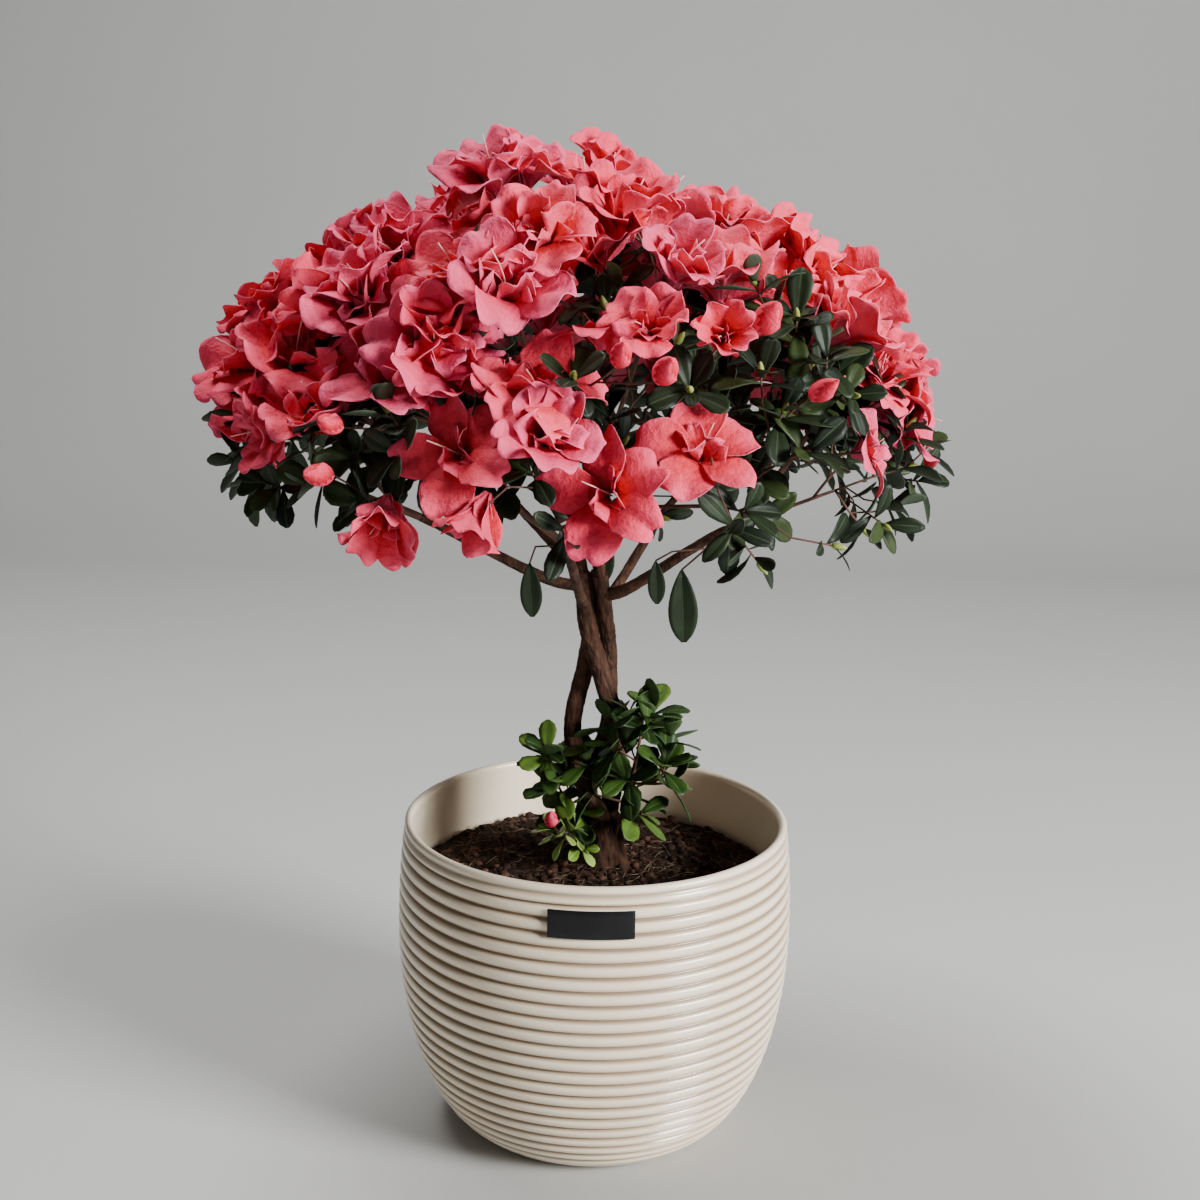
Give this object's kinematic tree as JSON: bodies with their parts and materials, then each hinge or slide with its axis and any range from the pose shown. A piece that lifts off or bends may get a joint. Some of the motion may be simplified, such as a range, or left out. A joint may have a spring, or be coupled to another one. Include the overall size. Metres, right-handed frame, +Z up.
{
  "type": "flowering azalea bonsai in a ribbed pot",
  "caption": "Potted flowering azalea trained as a small bonsai: slim twisted stems under a broad dome of ruffled blossom and dark leaves, in a round-bellied ribbed glazed pot.",
  "frame": {"origin": "centre of the pot's flat underside", "axes": "+Z up along the pot's axis, -Y towards the front, where the plain plate is, +X to the right seen from the front"},
  "size_m": [0.4182, 0.3944, 0.5817],
  "materials": {
    "glaze": "satin cream glaze, browner in the grooves",
    "plate": "plain black, blank",
    "peat": "fibrous dark peat",
    "bark": "ridged grey-brown bark",
    "blossom": "matt coral pink petals over dark green leaves",
    "shoots": "fresh green leaves with a soft sheen"
  },
  "bodies": {
    "root": {"pot": "glaze", "front_plate": "plate", "soil": "peat", "trunk_foot": "bark", "stem_left": "bark", "stem_right": "bark", "stem_rear": "bark", "bough_left": "bark", "bough_front": "bark", "bough_right": "bark", "bough_rear_right": "bark", "bough_rear_left": "bark", "bough_top_left": "bark", "bough_top_right": "bark", "bough_top_rear": "bark", "foliage_left": "blossom", "foliage_front": "blossom", "foliage_right": "blossom", "foliage_rear_right": "blossom", "foliage_rear_left": "blossom", "foliage_top_left": "blossom", "foliage_top_right": "blossom", "foliage_top_rear": "blossom", "shoots_right": "shoots", "shoots_left": "shoots", "sprout": "shoots"}
  },
  "joints": []
}
